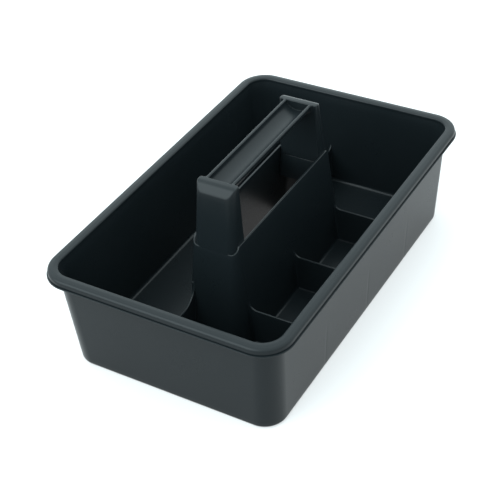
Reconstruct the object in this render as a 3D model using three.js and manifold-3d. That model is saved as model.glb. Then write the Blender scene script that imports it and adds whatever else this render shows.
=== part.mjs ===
// Carry caddy for cleaning supplies: an open tub with a rolled rim, a hollow housing down the middle that
// carries a fixed handle, one long bay behind the housing and four short bays in front of it.
// Millimetres. X runs along the length, Y across it with the long bay at +Y, Z up.
// The origin is the centre of the underside.
import * as THREE from "three";
import { mergeVertices } from "three/addons/utils/BufferGeometryUtils.js";
import Module from "manifold-3d";

const wasm = await Module();
wasm.setup();

// ---- Driving dimensions ----
const GAP = 0.3; // left between pieces that meet

const WALL = 2.2;
const FLOOR = 3;
const RIM_TOP = 110.2;
const RIM_HALF_X = 200;
const RIM_HALF_Y = 125.6;
const RIM_CORNER = 30.2;
const RIM_OVERHANG = 10.3; // from the walls' outer face to the rim's outer edge
const RIM_SEAT = 105.6; // where the walls end and the rim sits
const RIM_ROUND = 2.8; // radius of the rim's two shoulders
const LIP_DROP = 8.3; // from the rim's top to the bottom of its lip
const LIP_OUT = 1; // how far the lip stands out from the rim's band
const LIP_HEIGHT = 1.6;
const BASE_HALF_X = 184.4;
const BASE_HALF_Y = 109.4;
const BASE_CORNER = 21.7;
const BASE_FILLET = 4; // outside, round the bottom edge
const INNER_FILLET = 3.5; // inside, round the floor

const PANEL_TOP = 111.3; // top edge of the housing's long sides
const HOUSING_HALF_X = 92.8; // at PANEL_TOP
const HOUSING_HALF_Y = 23.9;
const HOUSING_CORNER = 6.3;
const HOUSING_DRAFT_X = 0.124; // how far each face leans in per mm of height
const HOUSING_DRAFT_Y = 0.103;
const HOUSING_CORNER_GROWTH = 0.11;

const HANDLE_TOP = 169;
const POST_HALF_Y = 22.2; // at PANEL_TOP
const POST_DRAFT_Y = 0.035;
const POST_CORNER = 8.5;
const POST_INNER_X = 73.4; // the posts' faces on the hand opening
const POST_WALL = 2.4;
const POST_ROOT = 76; // how far down the posts reach inside the housing
const END_SLOPE = THREE.MathUtils.degToRad(54); // how steeply the handle's two ends fall away
const END_SLOPE_FROM = 80.8; // where its level top ends

const GRIP_HALF_Y = 14.8;
const GRIP_BOTTOM = 156.5;
const GRIP_ROUND = 11.5; // height of its round underside, a half ellipse
const GRIP_WALL = 3;

const DIVIDER_TOP = 41.8;
const DIVIDER_THICKNESS = 2;
const CROSS_DIVIDER_PITCH = 88;
const CROSS_FLARE = 8; // radius of the rise where a cross divider meets the housing
const END_DIVIDER_Y = 22;
const END_FLARE = 20;
const WALL_FLARE = 7; // radius of the rise where a divider meets the tub's wall

const CORNER_STEPS = 7;
const FILLET_STEPS = 3;
const CURVE_STEPS = 10;

const LEAST_CORNER = 0.8; // an inset section's corner is never sharper than this
const OVERLAP = 0.1; // how far solids run into each other before they are joined or cut
const WELD = 1e-4; // points closer than this are one point

const PLASTIC = { color: 0x2b3135, roughness: 0.48, metalness: 0 };

// ---- Outlines and lofts ----

/** A horizontal section: a rounded rectangle about the Z axis. */
const section = (halfX, halfY, corner, z) => ({ halfX, halfY, corner, z });

/** The same section moved in by d all round, at height z. */
function inset(s, d, z = s.z) {
  return section(s.halfX - d, s.halfY - d, Math.max(s.corner - d, LEAST_CORNER), z);
}

/** The section's points, counter-clockwise seen from above. */
function outline({ halfX, halfY, corner, z }) {
  const points = [];
  const centres = [[1, 1], [-1, 1], [-1, -1], [1, -1]];
  centres.forEach(([sx, sy], quarter) => {
    for (let i = 0; i <= CORNER_STEPS; i++) {
      const angle = (quarter + i / CORNER_STEPS) * Math.PI / 2;
      points.push([
        sx * (halfX - corner) + corner * Math.cos(angle),
        sy * (halfY - corner) + corner * Math.sin(angle),
        z,
      ]);
    }
  });
  return points;
}

/** Walls between successive sections. A closed loft joins the last to the first; an open one is capped. */
function loft(sections, closed) {
  const rings = sections.map(outline);
  const count = rings[0].length;
  const index = (ring, point) => (ring % rings.length) * count + (point % count);
  const triangles = [];
  const walls = closed ? rings.length : rings.length - 1;
  for (let ring = 0; ring < walls; ring++) {
    for (let point = 0; point < count; point++) {
      const [a, b] = [index(ring, point), index(ring, point + 1)];
      const [c, d] = [index(ring + 1, point + 1), index(ring + 1, point)];
      triangles.push(a, b, c, a, c, d);
    }
  }
  if (!closed) {
    const last = rings.length - 1;
    for (let point = 1; point < count - 1; point++) {
      triangles.push(0, point + 1, point);
      triangles.push(index(last, 0), index(last, point), index(last, point + 1));
    }
  }
  const geometry = new THREE.BufferGeometry();
  geometry.setAttribute("position", new THREE.Float32BufferAttribute(rings.flat(2), 3));
  geometry.setIndex(triangles);
  return geometry;
}

/** An outline in a vertical plane, given thickness across it. */
function plate(shape, thickness, alongX) {
  const geometry = new THREE.ExtrudeGeometry(shape, {
    depth: thickness, bevelEnabled: false, curveSegments: CURVE_STEPS,
  });
  geometry.translate(0, 0, -thickness / 2);
  geometry.rotateX(Math.PI / 2); // the shape's y is now Z, and it extrudes along Y
  if (!alongX) geometry.rotateZ(Math.PI / 2); // the shape's x is now Y, and it extrudes along X
  return geometry;
}

// ---- Solids for cutting and joining ----

function toSolid(geometry) {
  const bare = geometry.clone();
  bare.deleteAttribute("normal");
  bare.deleteAttribute("uv");
  const merged = mergeVertices(bare, WELD);
  return new wasm.Manifold(new wasm.Mesh({
    numProp: 3,
    vertProperties: new Float32Array(merged.attributes.position.array),
    triVerts: new Uint32Array(merged.index.array),
  }));
}

function toGeometry(solid) {
  const { vertProperties, triVerts } = solid.getMesh();
  const geometry = new THREE.BufferGeometry();
  geometry.setAttribute("position", new THREE.BufferAttribute(new Float32Array(vertProperties), 3));
  geometry.setIndex(new THREE.BufferAttribute(new Uint32Array(triVerts), 1));
  return geometry;
}

/** A solid through two or more sections, capped at both ends. */
const tapered = (...sections) => toSolid(loft(sections, false));

// ---- The drafted faces that the pieces share ----

/** The outer face of the tub's walls at a height. */
function tubFace(z) {
  const t = z / RIM_SEAT;
  return section(
    THREE.MathUtils.lerp(BASE_HALF_X, RIM_HALF_X - RIM_OVERHANG, t),
    THREE.MathUtils.lerp(BASE_HALF_Y, RIM_HALF_Y - RIM_OVERHANG, t),
    THREE.MathUtils.lerp(BASE_CORNER, RIM_CORNER - RIM_OVERHANG, t),
    z,
  );
}

/** The outer face of the housing at a height. */
function housingFace(z) {
  const below = PANEL_TOP - z;
  return section(
    HOUSING_HALF_X + HOUSING_DRAFT_X * below,
    HOUSING_HALF_Y + HOUSING_DRAFT_Y * below,
    HOUSING_CORNER + HOUSING_CORNER_GROWTH * below,
    z,
  );
}

/** The outer face of the handle's posts at a height: flush with the housing at its ends, narrower across. */
function postFace(z) {
  const above = z - PANEL_TOP;
  return section(
    HOUSING_HALF_X - HOUSING_DRAFT_X * above,
    POST_HALF_Y - POST_DRAFT_Y * above,
    POST_CORNER,
    z,
  );
}

// ---- Pieces ----

/** Sections of a quarter-round between a floor at z and a drafted face. */
function filletSections(face, radius, z, extra) {
  const sections = [];
  for (let i = 0; i <= FILLET_STEPS; i++) {
    const angle = i / FILLET_STEPS * Math.PI / 2;
    const height = z + radius * (1 - Math.cos(angle));
    sections.push(inset(face(height), extra + radius * (1 - Math.sin(angle))));
  }
  return sections;
}

/** The tub: floor and walls, with the housing's opening through the floor. */
function tub() {
  const outside = [...filletSections(tubFace, BASE_FILLET, 0, 0), tubFace(RIM_SEAT)];
  const inside = [
    inset(tubFace(RIM_SEAT), WALL),
    ...filletSections(tubFace, INNER_FILLET, FLOOR, WALL).reverse(),
  ];
  const opening = inset(housingFace(FLOOR), WALL);
  return loft([...outside, ...inside, opening, { ...opening, z: 0 }], true);
}

/** Points of a rim shoulder: how far in from the rim's outer edge, and the height. */
function shoulder(centre, from, to) {
  const points = [];
  for (let i = 0; i <= FILLET_STEPS; i++) {
    const angle = THREE.MathUtils.lerp(from, to, i / FILLET_STEPS);
    points.push([
      centre + RIM_ROUND * Math.cos(angle),
      RIM_TOP - RIM_ROUND + RIM_ROUND * Math.sin(angle),
    ]);
  }
  return points;
}

/** The rim: a band rolled outwards and down to a lip, hollow underneath, seated on top of the walls. */
function rolledRim() {
  const edge = section(RIM_HALF_X, RIM_HALF_Y, RIM_CORNER, RIM_TOP);
  const lipBottom = RIM_TOP - LIP_DROP;
  const lipTop = lipBottom + LIP_HEIGHT;
  const seat = RIM_SEAT + GAP;
  const inner = RIM_OVERHANG + WALL;
  const skirt = LIP_OUT + WALL;
  const underside = RIM_TOP - WALL;
  const profile = [
    [0, lipBottom], [0, lipTop], [LIP_OUT, lipTop],
    ...shoulder(LIP_OUT + RIM_ROUND, Math.PI, Math.PI / 2),
    ...shoulder(inner - RIM_ROUND, Math.PI / 2, 0),
    [inner, seat], [RIM_OVERHANG, seat],
    [RIM_OVERHANG, underside], [skirt, underside], [skirt, lipBottom],
  ];
  return loft(profile.map(([d, z]) => inset(edge, d, z)), true);
}

/** The housing: four drafted walls standing on the tub's floor, open above and below. */
function centreHousing() {
  const foot = FLOOR + GAP;
  return loft([
    housingFace(foot), housingFace(PANEL_TOP),
    inset(housingFace(PANEL_TOP), WALL), inset(housingFace(foot), WALL),
  ], true);
}

/** A post's outline from the side, drawn in by d: upright on the hand opening, sloping at the end. */
function postProfile(d) {
  const [inner, outer] = [POST_INNER_X + d, 2 * HOUSING_HALF_X];
  const top = HANDLE_TOP - d;
  const slopeFrom = END_SLOPE_FROM - d * Math.tan(END_SLOPE / 2);
  const shape = new THREE.Shape();
  shape.moveTo(inner, 0);
  shape.lineTo(outer, 0);
  shape.lineTo(outer, top - (outer - slopeFrom) * Math.tan(END_SLOPE));
  shape.lineTo(slopeFrom, top);
  shape.lineTo(inner, top);
  shape.closePath();
  return toSolid(plate(shape, 2 * HOUSING_HALF_X, true));
}

/** One hollow post of the handle, at the +X end: its root inside the housing and its end block on top. */
function handlePost() {
  const seat = PANEL_TOP + GAP;
  const ledge = seat + POST_WALL; // top of the ledge that sits on the housing's end wall
  const rootFace = (z, d) => inset(housingFace(z), WALL + GAP + d);
  const skin = tapered(postFace(seat), postFace(HANDLE_TOP + OVERLAP))
    .add(tapered(rootFace(POST_ROOT, 0), rootFace(seat + OVERLAP, 0)))
    .intersect(postProfile(0));
  const hollow = tapered(inset(postFace(ledge), POST_WALL), inset(postFace(HANDLE_TOP), POST_WALL))
    .add(tapered(rootFace(POST_ROOT - OVERLAP, POST_WALL), rootFace(ledge + OVERLAP, POST_WALL)))
    .intersect(postProfile(POST_WALL));
  return toGeometry(skin.subtract(hollow));
}

/** The grip: a trough of even thickness, open above, with a round underside for the hand. */
function handleGrip() {
  const length = 2 * (POST_INNER_X - GAP);
  const level = GRIP_BOTTOM + GRIP_ROUND; // where the upright sides meet the round underside
  const inner = GRIP_HALF_Y - GRIP_WALL;
  const shape = new THREE.Shape();
  shape.moveTo(-GRIP_HALF_Y, HANDLE_TOP);
  shape.lineTo(-GRIP_HALF_Y, level);
  shape.absellipse(0, level, GRIP_HALF_Y, GRIP_ROUND, Math.PI, 2 * Math.PI, false);
  shape.lineTo(GRIP_HALF_Y, HANDLE_TOP);
  shape.lineTo(inner, HANDLE_TOP);
  shape.lineTo(inner, level);
  shape.absellipse(0, level, inner, GRIP_ROUND - GRIP_WALL, 0, Math.PI, true);
  shape.closePath();
  return plate(shape, length, false);
}

/** A low divider's outline: flat along the top, rising in a quarter-round at each end. */
function dividerOutline(from, to, startFlare, endFlare) {
  const shape = new THREE.Shape();
  shape.moveTo(from, FLOOR + GAP);
  shape.lineTo(to, FLOOR + GAP);
  shape.lineTo(to, DIVIDER_TOP + endFlare);
  shape.absarc(to - endFlare, DIVIDER_TOP + endFlare, endFlare, 0, -Math.PI / 2, true);
  shape.lineTo(from + startFlare, DIVIDER_TOP);
  shape.absarc(from + startFlare, DIVIDER_TOP + startFlare, startFlare, -Math.PI / 2, -Math.PI, true);
  shape.closePath();
  return shape;
}

/** What a divider is cut to: the tub's inside, less the housing, with the gap left all round. */
const insideTub = tapered(
  ...filletSections(tubFace, INNER_FILLET, FLOOR + GAP, WALL + GAP),
  inset(tubFace(RIM_SEAT), WALL + GAP),
);
const roundHousing = tapered(inset(housingFace(0), -GAP), inset(housingFace(PANEL_TOP), -GAP));

function fittedDivider(solid) {
  return toGeometry(solid.intersect(insideTub).subtract(roundHousing));
}

/** A divider across the short bays, from the -Y wall to the housing. */
function crossDivider(x) {
  const atWall = -tubFace(DIVIDER_TOP + WALL_FLARE).halfY + WALL + GAP;
  const atHousing = -housingFace(DIVIDER_TOP + CROSS_FLARE).halfY - GAP;
  const shape = dividerOutline(atWall, atHousing, WALL_FLARE, CROSS_FLARE);
  const divider = plate(shape, DIVIDER_THICKNESS, false);
  divider.translate(x, 0, 0);
  return fittedDivider(toSolid(divider));
}

/** How far along X a section reaches at a distance y from its middle, within its corner. */
function reachAt({ halfX, halfY, corner }, y) {
  const offset = y - (halfY - corner);
  return halfX - corner + Math.sqrt(corner * corner - offset * offset);
}

/** A divider from the housing's corner to the wall at one end: side -1 or 1 along X. */
function endDivider(side) {
  const reach = reachAt(housingFace(DIVIDER_TOP + END_FLARE), END_DIVIDER_Y + DIVIDER_THICKNESS / 2);
  const atWall = tubFace(DIVIDER_TOP + WALL_FLARE).halfX - WALL - GAP;
  const divider = plate(dividerOutline(reach, atWall, END_FLARE, WALL_FLARE), DIVIDER_THICKNESS, true);
  divider.translate(0, side * END_DIVIDER_Y, 0);
  if (side < 0) divider.rotateZ(Math.PI);
  return fittedDivider(toSolid(divider));
}

// ---- Assembly ----

const caddy = new THREE.Group();

function addPiece(name, geometry) {
  const mesh = new THREE.Mesh(geometry, new THREE.MeshStandardMaterial(PLASTIC));
  mesh.name = name;
  caddy.add(mesh);
  return mesh;
}

addPiece("tub", tub());
addPiece("rolled_rim", rolledRim());
addPiece("centre_housing", centreHousing());
addPiece("handle_post_right", handlePost());
addPiece("handle_post_left", handlePost()).rotation.z = Math.PI;
addPiece("handle_grip", handleGrip());
["left", "middle", "right"].forEach((name, i) => {
  addPiece(`cross_divider_${name}`, crossDivider((i - 1) * CROSS_DIVIDER_PITCH));
});
addPiece("end_divider_left", endDivider(-1));
addPiece("end_divider_right", endDivider(1));

export default caddy;
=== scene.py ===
"""Looks of the carry caddy: one satin slate-grey moulding, shown as its separate members.

Metres, in the frame of the CAD part: X along the length, Y across with the long bay at +Y, Z up.
Each member is a smooth closed mesh that stands for one CAD node. Neighbours meet face to face or
run a little way into each other, so that the caddy reads as one moulding.
"""

import math

import bpy
import numpy as np
from mathutils import Matrix, Vector


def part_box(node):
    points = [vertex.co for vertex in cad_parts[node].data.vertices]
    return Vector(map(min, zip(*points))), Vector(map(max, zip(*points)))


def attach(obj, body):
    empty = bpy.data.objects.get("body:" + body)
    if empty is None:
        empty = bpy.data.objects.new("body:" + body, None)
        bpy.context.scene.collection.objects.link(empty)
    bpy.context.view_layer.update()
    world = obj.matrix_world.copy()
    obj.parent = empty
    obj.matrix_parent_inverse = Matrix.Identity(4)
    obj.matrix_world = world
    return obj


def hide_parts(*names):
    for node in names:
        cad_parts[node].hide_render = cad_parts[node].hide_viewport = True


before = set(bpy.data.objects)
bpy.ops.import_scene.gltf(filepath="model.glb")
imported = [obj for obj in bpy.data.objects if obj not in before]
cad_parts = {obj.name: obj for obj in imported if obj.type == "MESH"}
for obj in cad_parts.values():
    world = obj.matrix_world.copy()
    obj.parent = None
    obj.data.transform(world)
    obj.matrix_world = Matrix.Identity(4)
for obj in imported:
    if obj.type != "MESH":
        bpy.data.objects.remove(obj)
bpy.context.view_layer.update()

MM = 0.001
QUARTER = math.pi / 2
CRISP_ANGLE = math.radians(40)

# ---- Sizes read from the frame ----
rim_low, rim_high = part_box("rolled_rim")
_, tub_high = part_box("tub")
_, housing_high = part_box("centre_housing")
post_low, post_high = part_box("handle_post_right")
grip_low, grip_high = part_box("handle_grip")

RIM_TOP = rim_high.z
RIM_HALF_X, RIM_HALF_Y = rim_high.x, rim_high.y
LIP_BOTTOM = rim_low.z
WALL_TOP = tub_high.z
WALL_HALF_X, WALL_HALF_Y = tub_high.x, tub_high.y
PANEL_TOP = housing_high.z
HANDLE_TOP = post_high.z
POST_ROOT = post_low.z
POST_INNER_X = post_low.x
GRIP_HALF_Y = grip_high.y
GRIP_BOTTOM = grip_low.z

# ---- Sizes of the moulding ----
WALL = 2.2 * MM
FLOOR = 3 * MM

# Tub
BASE_HALF_X = 184.4 * MM
BASE_HALF_Y = 109.4 * MM
BASE_CORNER = 21.7 * MM
BASE_FILLET = 4 * MM
INNER_FILLET = 3.5 * MM
TOP_FLARE = 0.9 * MM  # how far the walls' inner faces curve outwards into the rim
TOP_FLARE_HEIGHT = 10 * MM
OPENING_EDGE = 1 * MM  # rounding under the opening in the floor
SINK_DEPTH = 0.1 * MM
SINK_WIDTH = 1.5 * MM
SINK_FADE = 3 * MM  # the height over which a sink mark fades out above its divider
SINK_OFFSETS = [-5, -3, -2, -1.2, -0.6, 0, 0.6, 1.2, 2, 3, 5]  # millimetres along X from its middle

# Rim
RIM_CORNER = 30.2 * MM
LIP_OUT = 1.3 * MM
LIP_HEIGHT = 1.6 * MM
LIP_TOE = 0.5 * MM  # rounding along the lip's bottom edge
GROOVE = 0.5 * MM  # depth and height of the groove between band and lip
GROOVE_TOP = 0.7 * MM  # where the groove's slanted upper side ends, above the lip
SKIRT_EDGE = 0.3 * MM
RIM_SHOULDER = 3 * MM
INNER_SHOULDER = 2 * MM
CROWN = 0.35 * MM
UNDERSIDE_BEVEL = 1 * MM

# Housing; its half sizes and corner are those at PANEL_TOP
HOUSING_HALF_X = 92.8 * MM
HOUSING_HALF_Y = 23.9 * MM
HOUSING_CORNER = 6.3 * MM
HOUSING_DRAFT_X = 0.124
HOUSING_DRAFT_Y = 0.103
HOUSING_CORNER_GROWTH = 0.11
FOOT_FILLET = 2.5 * MM
PANEL_EDGE = 0.6 * MM
PANEL_RUNOUT = 7 * MM  # how far the panels' top edge falls as it dies away on the end faces
FOOT_SETBACK = 0.3 * MM  # how far the inner face draws back in the floor, behind the opening's face

# Handle posts
POST_HALF_Y = 22.2 * MM  # at PANEL_TOP
POST_DRAFT_Y = 0.035
POST_CORNER = 8.5 * MM
POST_WALL = 2.4 * MM
POST_INNER_EDGE = 2 * MM
POST_EDGE = 0.9 * MM  # rounding round the top of the end blocks
POST_SEAM = PANEL_TOP - PANEL_RUNOUT - PANEL_EDGE  # where the end faces pass from housing to post
POST_STATIONS = [76.45 * MM, 76.75 * MM]  # points here keep the level top flat up to its bend
POST_SINK = 0.4 * MM  # how far a post's foot draws in as it passes into the housing
ROOT_OVERLAP = 0.1 * MM
CORE_EDGE = 0.2 * MM
CORE_REACH = 1 * MM  # how far the cutter for the hollow goes past the post's open foot
LEDGE_HEIGHT = 1 * MM  # of the step in the hollow, between the root and the post above it
END_SLOPE = math.radians(54)  # how steeply the handle's two ends fall away
END_SLOPE_FROM = 80.8 * MM  # where the level top would meet the slope without the bend
END_BEND = 7 * MM

# Grip
GRIP_WALL = 3 * MM
GRIP_ROUND = 11.2 * MM
RAIL_EDGE = 1.1 * MM
GRIP_FLARE = 2 * MM
TROUGH_FILLET = 0.3 * MM

# Dividers
DIVIDER_TOP = 41.8 * MM
DIVIDER_HALF = 1 * MM
DIVIDER_FILLET = 1.5 * MM
CROSS_FLARE = 8 * MM
END_DIVIDER_Y = 22 * MM
END_FLARE = 20 * MM
WALL_FLARE = 7 * MM
CROSS_DIVIDER_PITCH = 88 * MM

# ---- Steps along the curves, and small allowances ----
CORNER_STEPS = 16
ARC_STEPS = 6
EDGE_STEPS = 4
ROUND_STEPS = 5
SHOULDER_STEPS = 8
WALL_STEPS = 24
PANEL_STEPS = 15
POST_STEPS = 13
GRIP_STEPS = 7
TROUGH_STEPS = 32
RISE_STEPS = 11
SPAN_STEPS = 9
SIDE_STEPS = 7
SETTLING_ROUNDS = 30

SAME_FACE = 0.01 * MM  # points nearer than this to a face's plane belong to the face
EMBED = 0.9 * MM  # how far a piece runs into what it grows out of
HOLD = 0.25 * MM  # a point this far beyond a rounding keeps the flat beside it flat in the shading
LEAST_CORNER = 0.6 * MM
LEAST_INNER_EDGE = 0.3 * MM


def quarter_turn(steps):
    """Angles from zero to a quarter turn, both ends included."""
    return np.linspace(0, QUARTER, steps + 1)


def climb(steps):
    """Even fractions from just above zero up to one."""
    return np.linspace(0, 1, steps + 1)[1:]


def lerp(a, b, t):
    return a + (b - a) * t


# ---- Rounded outlines ----

def outline(half_x, half_y, corner, z, stations=()):
    """A rounded rectangle at height z, counter-clockwise.

    half_x is half the length, or both ends' places along X; corner is one radius, or one for each end.
    stations are places along X where both long sides get a point of their own.
    """
    near, far = corner if isinstance(corner, tuple) else (corner, corner)
    low_x, high_x = half_x if isinstance(half_x, tuple) else (-half_x, half_x)
    points = []
    for quarter in range(4):
        right = quarter in (0, 3)
        radius = far if right else near
        centre_x = high_x - radius if right else low_x + radius
        centre_y = (half_y - radius) * (1 if quarter < 2 else -1)
        arc_points = []
        for i in range(CORNER_STEPS + 1):
            angle = (quarter + i / CORNER_STEPS) * QUARTER
            arc_points.append((centre_x + radius * math.cos(angle), centre_y + radius * math.sin(angle)))
        run_x = round(math.cos(quarter * QUARTER))
        run_y = round(math.sin(quarter * QUARTER))
        before = (arc_points[0][0] + HOLD * run_y, arc_points[0][1] - HOLD * run_x)
        after = (arc_points[-1][0] - HOLD * run_x, arc_points[-1][1] - HOLD * run_y)
        points += [before] + arc_points + [after]
        if quarter == 0:
            points += [(x, half_y) for x in reversed(stations)]
        if quarter == 2:
            points += [(x, -half_y) for x in stations]
    ring = np.empty((len(points), 3))
    ring[:, :2] = points
    ring[:, 2] = z
    return ring


def section(half_x, half_y, corner, z):
    return {"half_x": half_x, "half_y": half_y, "corner": corner, "z": z}


def inset(s, d, z=None):
    """A section moved in by d all round."""
    corner = max(s["corner"] - d, LEAST_CORNER)
    return section(s["half_x"] - d, s["half_y"] - d, corner, s["z"] if z is None else z)


def ring_of(s, stations=()):
    return outline(s["half_x"], s["half_y"], s["corner"], s["z"], stations)


def tub_face(z):
    """The outer face of the tub's walls at a height."""
    t = z / WALL_TOP
    overhang = RIM_HALF_X - WALL_HALF_X
    return section(lerp(BASE_HALF_X, WALL_HALF_X, t), lerp(BASE_HALF_Y, WALL_HALF_Y, t),
                   lerp(BASE_CORNER, RIM_CORNER - overhang, t), z)


def housing_face(z):
    """The outer face of the housing at a height."""
    below = PANEL_TOP - z
    return section(HOUSING_HALF_X + HOUSING_DRAFT_X * below, HOUSING_HALF_Y + HOUSING_DRAFT_Y * below,
                   HOUSING_CORNER + HOUSING_CORNER_GROWTH * below, z)


# ---- Meshes ----

def make_piece(name, rings, closed=True, bridged=False):
    """A closed mesh through rings of points.

    Closed joins the last ring to the first; otherwise both are capped. A bridged top cap is laid in
    strips between the points that mirror each other across Y.
    """
    count = len(rings[0])
    vertices = np.concatenate(rings)
    faces = []
    spans = len(rings) if closed else len(rings) - 1
    for r in range(spans):
        here, there = r * count, (r + 1) % len(rings) * count
        for i in range(count):
            j = (i + 1) % count
            faces.append((here + i, here + j, there + j, there + i))
    if not closed:
        top = (len(rings) - 1) * count
        last = top + count - 1
        faces.append(tuple(reversed(range(count))))
        if bridged:
            faces += [(top + i, top + i + 1, last - i - 1, last - i) for i in range(count // 2 - 1)]
        else:
            faces.append(tuple(range(top, top + count)))
    return mesh_object(name, vertices, faces)


def mesh_object(name, vertices, faces):
    mesh = bpy.data.meshes.new(name)
    mesh.from_pydata([tuple(v) for v in vertices], [], faces)
    mesh.validate()
    mesh.update()
    piece = bpy.data.objects.new(name, mesh)
    bpy.context.scene.collection.objects.link(piece)
    return piece


def shade(piece):
    """Smooth shading, with edges sharper than CRISP_ANGLE left crisp."""
    bpy.context.view_layer.objects.active = piece
    piece.select_set(True)
    bpy.ops.object.shade_smooth_by_angle(angle=CRISP_ANGLE)
    piece.select_set(False)


def arc(centre_d, centre_z, radius, start, stop, steps=ARC_STEPS):
    """Points of a quarter-round in a wall's section: distance in from the outside, and height."""
    angles = [lerp(start, stop, i / steps) for i in range(steps + 1)]
    return [(centre_d + radius * math.cos(a), centre_z + radius * math.sin(a)) for a in angles]


def fillet_rings(face, radius, z, depth):
    """Sections of the quarter-round from a floor at z up into a drafted face, moved in by depth.

    A radius below zero is a fillet that spreads outwards at its foot.
    """
    sections = []
    for i in range(ARC_STEPS + 1):
        angle = i / ARC_STEPS * QUARTER
        height = z + abs(radius) * (1 - math.cos(angle))
        sections.append(inset(face(height), depth + radius * (1 - math.sin(angle))))
    return sections


# ---- Tub ----

def sink_stations():
    """Close-set places along X, across each cross divider's sink mark."""
    return [k * CROSS_DIVIDER_PITCH + offset * MM for k in (-1, 0, 1) for offset in SINK_OFFSETS]


def sink(ring):
    """Draws the front wall's outer face in a little, opposite each cross divider."""
    z = ring[0, 2]
    fade = 1 / (1 + math.exp((z - DIVIDER_TOP - WALL_FLARE) / SINK_FADE))
    front = np.abs(ring[:, 1] - ring[:, 1].min()) < SAME_FACE
    for k in (-1, 0, 1):
        offset = (ring[:, 0] - k * CROSS_DIVIDER_PITCH) / SINK_WIDTH
        ring[front, 1] += SINK_DEPTH * fade * np.exp(-offset[front] ** 2)
    return ring


def inner_wall(z):
    """The inner face of the tub's walls at a height: it curves outwards a little, up into the rim."""
    near_top = max(1 - (WALL_TOP - z) / TOP_FLARE_HEIGHT, 0)
    return inset(tub_face(z), WALL - TOP_FLARE * near_top ** 2)


def build_tub():
    """Floor and walls as one shell: up the outside, down the inside and out round the floor's opening."""
    stations = sink_stations()
    heights = [lerp(BASE_FILLET, WALL_TOP, t) for t in climb(WALL_STEPS)]
    outside = [inset(tub_face(0), BASE_FILLET + HOLD)] + fillet_rings(tub_face, BASE_FILLET, 0, 0)
    outside += [tub_face(z) for z in heights]
    inside = [inner_wall(z) for z in reversed(heights)]
    inside += reversed(fillet_rings(tub_face, INNER_FILLET, FLOOR, WALL))
    inside.append(inset(tub_face(FLOOR), WALL + INNER_FILLET + HOLD))
    opening = inset(housing_face(FLOOR), WALL)
    hole = [opening]
    for a in quarter_turn(ROUND_STEPS):
        hole.append(inset(opening, -OPENING_EDGE * (1 - math.cos(a)), OPENING_EDGE * (1 - math.sin(a))))
    hole.append(inset(opening, -OPENING_EDGE - HOLD, 0))
    rings = [sink(ring_of(s, stations)) for s in outside]
    rings += [ring_of(s, stations) for s in inside + hole]
    return make_piece("tub_shell", rings)


# ---- Rim ----

def build_rim():
    """The rolled rim: a crowned band with a turned-down lip, meeting the walls without a step."""
    edge = section(RIM_HALF_X, RIM_HALF_Y, RIM_CORNER, RIM_TOP)
    overhang = RIM_HALF_X - WALL_HALF_X
    inner = overhang + WALL - TOP_FLARE
    skirt = LIP_OUT + WALL
    lip_top = LIP_BOTTOM + LIP_HEIGHT
    bead = LIP_HEIGHT / 2
    groove = LIP_OUT + GROOVE
    underside = RIM_TOP - WALL - CROWN
    side_top = RIM_TOP - CROWN
    crown_start, crown_end = LIP_OUT + RIM_SHOULDER, inner - INNER_SHOULDER
    profile = [(skirt, LIP_BOTTOM + SKIRT_EDGE), (skirt - SKIRT_EDGE, LIP_BOTTOM), (LIP_TOE, LIP_BOTTOM)]
    profile += arc(LIP_TOE, LIP_BOTTOM + LIP_TOE, LIP_TOE, -QUARTER, -2 * QUARTER)[1:]
    profile += arc(bead, LIP_BOTTOM + bead, bead, 2 * QUARTER, QUARTER)[1:ARC_STEPS // 2 + 1]
    profile += [(groove, lip_top), (groove, lip_top + GROOVE), (LIP_OUT, lip_top + GROOVE_TOP)]
    profile += arc(crown_start, side_top - RIM_SHOULDER, RIM_SHOULDER, 2 * QUARTER, QUARTER, SHOULDER_STEPS)
    for t in (0.25, 0.5, 0.75):
        profile.append((lerp(crown_start, crown_end, t), side_top + CROWN * math.sin(math.pi * t) ** 2))
    profile += arc(crown_end, side_top - INNER_SHOULDER, INNER_SHOULDER, QUARTER, 0, SHOULDER_STEPS)
    profile += [(inner, WALL_TOP), (overhang, WALL_TOP)]
    profile += [(overhang, underside - UNDERSIDE_BEVEL), (overhang - UNDERSIDE_BEVEL, underside)]
    profile += [(skirt + UNDERSIDE_BEVEL, underside), (skirt, underside - UNDERSIDE_BEVEL)]
    return make_piece("rim_band", [ring_of(inset(edge, d, z), sink_stations()) for d, z in profile])


# ---- Housing ----

def heights_of_top():
    """The height of the housing's top edge at each point round it: it falls away towards the end faces.

    There the housing runs up into the handle's posts without a step. A round outline of radius 1 says
    how far each point faces an end.
    """
    facing_end = np.abs(outline(1, 1, 1, 0)[:, 0])
    return PANEL_TOP - PANEL_RUNOUT * facing_end


def housing_ring(heights, depth=0):
    """The housing's section, moved in by depth, with each point at a height of its own."""
    low = ring_of(inset(housing_face(FLOOR), depth))
    high = ring_of(inset(housing_face(PANEL_TOP), depth))
    t = (heights - FLOOR) / (PANEL_TOP - FLOOR)
    return low + (high - low) * t[:, None]


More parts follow.
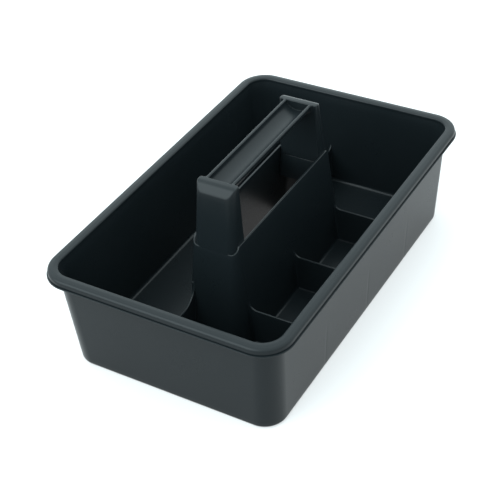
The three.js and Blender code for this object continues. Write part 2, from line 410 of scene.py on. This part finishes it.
def build_housing():
    """The drafted tower as one shell: up the outside from its foot fillet, over the edge and down inside."""
    foot = fillet_rings(housing_face, -FOOT_FILLET, FLOOR, 0)
    top = heights_of_top()
    side_top = top - PANEL_EDGE
    rings = [ring_of(inset(foot[0], 0, FLOOR - EMBED))] + [ring_of(s) for s in foot]
    rings += [housing_ring(lerp(FLOOR + FOOT_FILLET, side_top, t)) for t in climb(PANEL_STEPS)]
    for a in quarter_turn(EDGE_STEPS)[1:]:
        rings.append(housing_ring(side_top + PANEL_EDGE * math.sin(a), PANEL_EDGE * (1 - math.cos(a))))
    for a in quarter_turn(EDGE_STEPS):
        depth = WALL - PANEL_EDGE * (1 - math.sin(a))
        rings.append(housing_ring(side_top + PANEL_EDGE * math.cos(a), depth))
    rings += [housing_ring(lerp(FLOOR, side_top, t), WALL) for t in reversed(climb(PANEL_STEPS)[:-1])]
    rings.append(ring_of(inset(housing_face(FLOOR), WALL)))
    rings.append(ring_of(inset(housing_face(FLOOR), WALL - FOOT_SETBACK, FLOOR - EMBED)))
    return make_piece("housing_shell", rings)


# ---- Handle posts ----

def post_face(z, depth):
    """The +X post's section at a height, moved in by depth."""
    above = z - PANEL_TOP
    ends = (POST_INNER_X + depth, HOUSING_HALF_X - HOUSING_DRAFT_X * above - depth)
    corners = (max(POST_INNER_EDGE - depth, LEAST_INNER_EDGE), POST_CORNER - depth)
    return outline(ends, POST_HALF_Y - POST_DRAFT_Y * above - depth, corners, z, POST_STATIONS)


def post_ring(heights, depth):
    """The same section with each point at a height of its own."""
    low, high = post_face(POST_ROOT, depth), post_face(HANDLE_TOP, depth)
    t = (heights - POST_ROOT) / (HANDLE_TOP - POST_ROOT)
    return low + (high - low) * t[:, None]


def block_top(x, wall):
    """Height of the end block's top at x: level, then bending down into an even slope."""
    start = END_SLOPE_FROM - (END_BEND + wall) * math.tan(END_SLOPE / 2)
    bend_length = END_BEND * math.sin(END_SLOPE)
    bending = np.clip(x - start, 0, bend_length)
    sloping = np.maximum(x - start - bend_length, 0)
    fall = END_BEND - np.sqrt(END_BEND ** 2 - bending ** 2) + sloping * math.tan(END_SLOPE)
    return HANDLE_TOP - wall - fall


def block_ring(wall, depth, drop):
    """The section at a depth inside the wall, each point lying by drop below the top that is over it.

    The section narrows with height, so heights and places are settled together, round by round.
    """
    heights = np.full(len(post_face(HANDLE_TOP, wall)), HANDLE_TOP)
    for _ in range(SETTLING_ROUNDS):
        heights = block_top(post_ring(heights, wall + depth)[:, 0], wall) - drop
    return post_ring(heights, wall + depth)


def root_ring(z, wall=0):
    """A post's root inside the housing: it runs into the housing's inner faces by ROOT_OVERLAP."""
    face = inset(housing_face(z), WALL - ROOT_OVERLAP + wall)
    corners = (max(POST_INNER_EDGE - wall, LEAST_INNER_EDGE), face["corner"])
    return outline((POST_INNER_X + wall, face["half_x"]), face["half_y"], corners, z, POST_STATIONS)


def post_solid(name, rings, wall, edge):
    """Carries rings on up from the last one's height to the end block's top, rounded over at its edges."""
    start = rings[-1][:, 2]
    shoulder = block_ring(wall, 0, edge)[:, 2]
    rings += [post_ring(lerp(start, shoulder, t), wall) for t in climb(POST_STEPS)]
    for a in quarter_turn(ARC_STEPS)[1:]:
        rings.append(block_ring(wall, edge * (1 - math.cos(a)), edge * (1 - math.sin(a))))
    return make_piece(name, rings, closed=False, bridged=True)


def build_post(side):
    """A post, hollow and open at its foot: the root stands inside the housing, the rest above the seam."""
    rings = [root_ring(POST_ROOT), root_ring(POST_SEAM - 3 * POST_SINK)]
    rings += [post_face(POST_SEAM - POST_SINK, POST_SINK), post_face(POST_SEAM, 0)]
    skin = post_solid("post_skin", rings, 0, POST_EDGE)
    ledge = POST_SEAM + POST_WALL
    inner = [root_ring(POST_ROOT - CORE_REACH, POST_WALL), root_ring(ledge - LEDGE_HEIGHT, POST_WALL)]
    inner.append(post_face(ledge, POST_WALL))
    hollow = post_solid("post_core", inner, POST_WALL, CORE_EDGE)
    cut = skin.modifiers.new("core", "BOOLEAN")
    cut.operation = "DIFFERENCE"
    cut.object = hollow
    apply_modifiers(skin)
    bpy.data.objects.remove(hollow)
    skin.name = f"post_{side}"
    if side == "left":
        skin.data.transform(Matrix.Rotation(math.pi, 4, "Z"))
    return skin


def apply_modifiers(piece):
    evaluated = piece.evaluated_get(bpy.context.evaluated_depsgraph_get())
    mesh = bpy.data.meshes.new_from_object(evaluated)
    piece.modifiers.clear()
    piece.data = mesh


# ---- Grip ----

def half_oval(half_y, depth, start, stop):
    """The lower half of an oval across the grip, from one angle to another."""
    level = GRIP_BOTTOM + GRIP_ROUND
    angles = np.linspace(start, stop, TROUGH_STEPS + 1)
    return [(half_y * math.cos(a), level + depth * math.sin(a)) for a in angles]


def rail_edge(y, start):
    """A quarter of the rounding along a rail's top, round a centre at y."""
    z = HANDLE_TOP - RAIL_EDGE
    angles = np.linspace(start, start + QUARTER, ROUND_STEPS + 1)
    return [(y + RAIL_EDGE * math.cos(a), z + RAIL_EDGE * math.sin(a)) for a in angles]


def grip_section(x, flare, fillet):
    """The trough's closed outline at x: flared out towards the posts, and filleted inside against them."""
    outer, inner = GRIP_HALF_Y + flare, GRIP_HALF_Y - GRIP_WALL - fillet
    points = half_oval(outer, GRIP_ROUND + flare, math.pi, 2 * math.pi)
    points += rail_edge(outer - RAIL_EDGE, 0) + rail_edge(inner + RAIL_EDGE, QUARTER)
    points += half_oval(inner, GRIP_ROUND - GRIP_WALL - fillet, 2 * math.pi, math.pi)
    points += rail_edge(-inner - RAIL_EDGE, 0) + rail_edge(-outer + RAIL_EDGE, QUARTER)
    return np.array([(x, y, z) for y, z in points])


def fillet_at(distance, radius):
    """How far a fillet of that radius stands out, at a distance from the face it grows out of."""
    if distance >= radius:
        return 0
    return radius - math.sqrt(max(radius * radius - (radius - distance) ** 2, 0))


def build_grip():
    """The bar between the posts; its sections lie close together where it flares out into them."""
    reach = POST_INNER_X + POST_EDGE
    near = [POST_INNER_X - GRIP_FLARE * (1 - math.cos(a)) for a in quarter_turn(GRIP_STEPS)]
    places = [reach] + near + list(np.linspace(near[-1], 0, GRIP_STEPS + 1)[1:])
    places = places + [-x for x in reversed(places[:-1])]
    rings = []
    for x in places:
        distance = max(POST_INNER_X - abs(x), 0)
        rings.append(grip_section(x, fillet_at(distance, GRIP_FLARE), fillet_at(distance, TROUGH_FILLET)))
    return make_piece("grip_trough", rings[::-1], closed=False)


# ---- Dividers ----

def spaced(length, start_flare, end_flare):
    """Places along a divider, as fractions of its length, close together inside the rises at its ends."""
    start = [start_flare * (1 - math.cos(a)) for a in quarter_turn(RISE_STEPS)]
    end = [length - end_flare * (1 - math.cos(a)) for a in reversed(quarter_turn(RISE_STEPS))]
    middle = list(np.linspace(start[-1], end[0], SPAN_STEPS + 1)[1:-1])
    return np.array(start + middle + end) / length


def build_divider(name, start_at, end_at, start_flare, end_flare, place):
    """A low plate between two faces, its top rising in a quarter-round at each end.

    start_at and end_at give the faces' places at each height; place turns a distance along the plate,
    a distance to its side and a height into a point.
    """
    length = end_at(DIVIDER_TOP) - start_at(DIVIDER_TOP)
    low = [FLOOR + DIVIDER_FILLET * (1 - math.cos(a)) for a in quarter_turn(ARC_STEPS)]
    columns = []
    for t in spaced(length, start_flare, end_flare):
        rise = fillet_at(t * length, start_flare) + fillet_at(length - t * length, end_flare)
        top = DIVIDER_TOP + rise
        high = [top - DIVIDER_HALF * (1 - math.sin(a)) for a in quarter_turn(ARC_STEPS)]
        column = []
        for z in low + list(np.linspace(low[-1], high[0], SIDE_STEPS + 1)[1:-1]) + high:
            s = lerp(start_at(z), end_at(z), t)
            nearest = min(s - start_at(z), end_at(z) - s, z - FLOOR)
            beside = fillet_at(nearest, DIVIDER_FILLET)
            above = max(z - (top - DIVIDER_HALF), 0)
            half = math.sqrt(max(DIVIDER_HALF ** 2 - above ** 2, 0)) + beside * (above == 0)
            column.append((s, half, z))
        columns.append(column)
    first = [(s - EMBED, h, z) for s, h, z in columns[0]]
    last = [(s + EMBED, h, z) for s, h, z in columns[-1]]
    rings = []
    for column in [first] + columns + [last]:
        sunk = (column[0][0], column[0][1], FLOOR - EMBED)
        one = [place(s, h, z) for s, h, z in [sunk] + column]
        other = [place(s, -h, z) for s, h, z in reversed([sunk] + column[:-1])]
        rings.append(np.array(one + other))
    return make_piece(name, rings, closed=False)


def build_cross_divider(name, x):
    """A divider along Y, from the front wall to the housing."""
    def at_wall(z):
        return -inset(tub_face(z), WALL)["half_y"]

    def at_housing(z):
        face = housing_face(z)
        beyond = max(abs(x) - (face["half_x"] - face["corner"]), 0)
        return -(face["half_y"] - face["corner"] + math.sqrt(face["corner"] ** 2 - beyond ** 2))

    return build_divider(name, at_wall, at_housing, WALL_FLARE, CROSS_FLARE,
                         lambda s, h, z: (x - h, s, z))


def build_end_divider(name, side):
    """A divider along X, from the housing to the end wall on that side."""
    def at_housing(z):
        face = housing_face(z)
        offset = END_DIVIDER_Y - (face["half_y"] - face["corner"])
        return face["half_x"] - face["corner"] + math.sqrt(face["corner"] ** 2 - offset ** 2)

    def at_wall(z):
        return inset(tub_face(z), WALL)["half_x"]

    return build_divider(name, at_housing, at_wall, END_FLARE, WALL_FLARE,
                         lambda s, h, z: (side * s, END_DIVIDER_Y + side * h, z))


# ---- Material ----

PLASTIC_IOR = 1.24
DARK_SLATE = (0.0038, 0.0056, 0.0065, 1)
LIGHT_SLATE = (0.0054, 0.0073, 0.0084, 1)
TONE_SCALE = 16
ROUGHNESS_RANGE = (0.26, 0.32)
ROUGHNESS_SCALE = 22
SPECKLE = 0.03  # fine change of roughness, either way
SPECKLE_SCALE = 900
GRAIN_STRENGTH = 0.12
GRAIN_HEIGHT = 0.05 * MM
GRAIN_SCALE = 1400


def slate_plastic():
    """Satin moulded polypropylene: slow changes of tone and gloss, and a fine grain."""
    material = bpy.data.materials.new("slate_plastic")
    material.use_nodes = True
    nodes, links = material.node_tree.nodes, material.node_tree.links
    shader = nodes["Principled BSDF"]
    shader.inputs["IOR"].default_value = PLASTIC_IOR
    place = nodes.new("ShaderNodeTexCoord").outputs["Object"]

    def noise(scale, detail, roughness=0.5):
        node = nodes.new("ShaderNodeTexNoise")
        node.inputs["Scale"].default_value = scale
        node.inputs["Detail"].default_value = detail
        node.inputs["Roughness"].default_value = roughness
        links.new(place, node.inputs["Vector"])
        return node.outputs["Fac"]

    def spread(value, low, high):
        node = nodes.new("ShaderNodeMapRange")
        node.inputs["To Min"].default_value = low
        node.inputs["To Max"].default_value = high
        links.new(value, node.inputs["Value"])
        return node.outputs["Result"]

    tone = nodes.new("ShaderNodeMix")
    tone.data_type = "RGBA"
    tone.inputs["A"].default_value = DARK_SLATE
    tone.inputs["B"].default_value = LIGHT_SLATE
    links.new(noise(TONE_SCALE, 4), tone.inputs["Factor"])
    links.new(tone.outputs["Result"], shader.inputs["Base Color"])
    gloss = nodes.new("ShaderNodeMath")
    gloss.operation = "ADD"
    links.new(spread(noise(ROUGHNESS_SCALE, 5, 0.6), *ROUGHNESS_RANGE), gloss.inputs[0])
    links.new(spread(noise(SPECKLE_SCALE, 2), -SPECKLE, SPECKLE), gloss.inputs[1])
    links.new(gloss.outputs[0], shader.inputs["Roughness"])
    grain = nodes.new("ShaderNodeBump")
    grain.inputs["Strength"].default_value = GRAIN_STRENGTH
    grain.inputs["Distance"].default_value = GRAIN_HEIGHT
    links.new(noise(GRAIN_SCALE, 3), grain.inputs["Height"])
    links.new(grain.outputs["Normal"], shader.inputs["Normal"])
    return material


# ---- Assembly ----

plastic = slate_plastic()


def add(piece, node):
    """Finishes a piece (shading, material, parent) and hides the CAD node it stands for."""
    shade(piece)
    piece.data.materials.clear()
    piece.data.materials.append(plastic)
    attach(piece, "root")
    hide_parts(node)


add(build_tub(), "tub")
add(build_rim(), "rolled_rim")
add(build_housing(), "centre_housing")
add(build_post("right"), "handle_post_right")
add(build_post("left"), "handle_post_left")
add(build_grip(), "handle_grip")
for index, where in enumerate(("left", "middle", "right")):
    x = (index - 1) * CROSS_DIVIDER_PITCH
    add(build_cross_divider(f"cross_wall_{where}", x), f"cross_divider_{where}")
add(build_end_divider("end_wall_left", -1), "end_divider_left")
add(build_end_divider("end_wall_right", 1), "end_divider_right")


# ---- Table, surround and camera ----

TABLE_SIZE = 12
TABLE_CLEARANCE = 0.3 * MM
TABLE_COLOUR = (0.34, 0.34, 0.34, 1)
TABLE_ROUGHNESS = 0.9
TABLE_GLOW = 0.42
LIGHT_COLOUR = (0.87, 1, 1.03, 1)
HORIZON_STRENGTH = 1.9
OVERHEAD_STRENGTH = 3.3
SIDE_STRENGTH = 4.2
SIDE_LIGHT_FROM = (-0.75, 0.42, 0.5)
SIDE_LIGHT_EDGE = 0.75  # cosine of the side light's half angle


def add_table():
    """A table that glows by itself, so that it looks white and the caddy's shadow on it stays faint."""
    bpy.ops.mesh.primitive_plane_add(size=TABLE_SIZE, location=(0, 0, -TABLE_CLEARANCE))
    table = bpy.context.object
    table.name = "studio_floor"
    white = bpy.data.materials.new("studio_white")
    white.use_nodes = True
    shader = white.node_tree.nodes["Principled BSDF"]
    shader.inputs["Base Color"].default_value = TABLE_COLOUR
    shader.inputs["Roughness"].default_value = TABLE_ROUGHNESS
    shader.inputs["Specular IOR Level"].default_value = 0
    shader.inputs["Emission Color"].default_value = (1, 1, 1, 1)
    shader.inputs["Emission Strength"].default_value = TABLE_GLOW
    table.data.materials.append(white)


def add_surround():
    """A soft, slightly blue surround, brighter overhead and brightest round one place to the side."""
    world = bpy.data.worlds.new("studio")
    world.use_nodes = True
    nodes, links = world.node_tree.nodes, world.node_tree.links
    direction = nodes.new("ShaderNodeTexCoord").outputs["Generated"]
    parts = nodes.new("ShaderNodeSeparateXYZ")
    links.new(direction, parts.inputs["Vector"])
    strength = nodes.new("ShaderNodeMapRange")
    strength.inputs["To Min"].default_value = HORIZON_STRENGTH
    strength.inputs["To Max"].default_value = OVERHEAD_STRENGTH
    links.new(parts.outputs["Z"], strength.inputs["Value"])
    nearness = nodes.new("ShaderNodeVectorMath")
    nearness.operation = "DOT_PRODUCT"
    nearness.inputs[1].default_value = Vector(SIDE_LIGHT_FROM).normalized()
    links.new(direction, nearness.inputs[0])
    side = nodes.new("ShaderNodeMapRange")
    side.interpolation_type = "SMOOTHSTEP"
    side.inputs["From Min"].default_value = SIDE_LIGHT_EDGE
    side.inputs["To Max"].default_value = SIDE_STRENGTH
    links.new(nearness.outputs["Value"], side.inputs["Value"])
    total = nodes.new("ShaderNodeMath")
    total.operation = "ADD"
    links.new(strength.outputs["Result"], total.inputs[0])
    links.new(side.outputs["Result"], total.inputs[1])
    links.new(total.outputs[0], nodes["Background"].inputs["Strength"])
    nodes["Background"].inputs["Color"].default_value = LIGHT_COLOUR
    bpy.context.scene.world = world
    bpy.context.scene.view_settings.view_transform = "Standard"
    bpy.context.scene.view_settings.look = "None"


CAMERA_AT = Vector((-0.82033, -0.49857, 0.79150))
CAMERA_AIM = Vector((-0.02549, 0.00367, 0.05499))
CAMERA_ROLL = math.radians(-4)
CAMERA_LENS = 88.22
SENSOR_WIDTH = 36


def add_camera():
    """The photo's viewpoint, as fitted to the rim, the base and the handle."""
    camera = bpy.data.objects.new("camera", bpy.data.cameras.new("camera"))
    bpy.context.scene.collection.objects.link(camera)
    camera.data.lens = CAMERA_LENS
    camera.data.sensor_width = SENSOR_WIDTH
    camera.location = CAMERA_AT
    aim = (CAMERA_AIM - CAMERA_AT).to_track_quat("-Z", "Y").to_matrix().to_4x4()
    camera.rotation_euler = (aim @ Matrix.Rotation(CAMERA_ROLL, 4, "Z")).to_euler()
    bpy.context.scene.camera = camera


add_table()
add_surround()
add_camera()
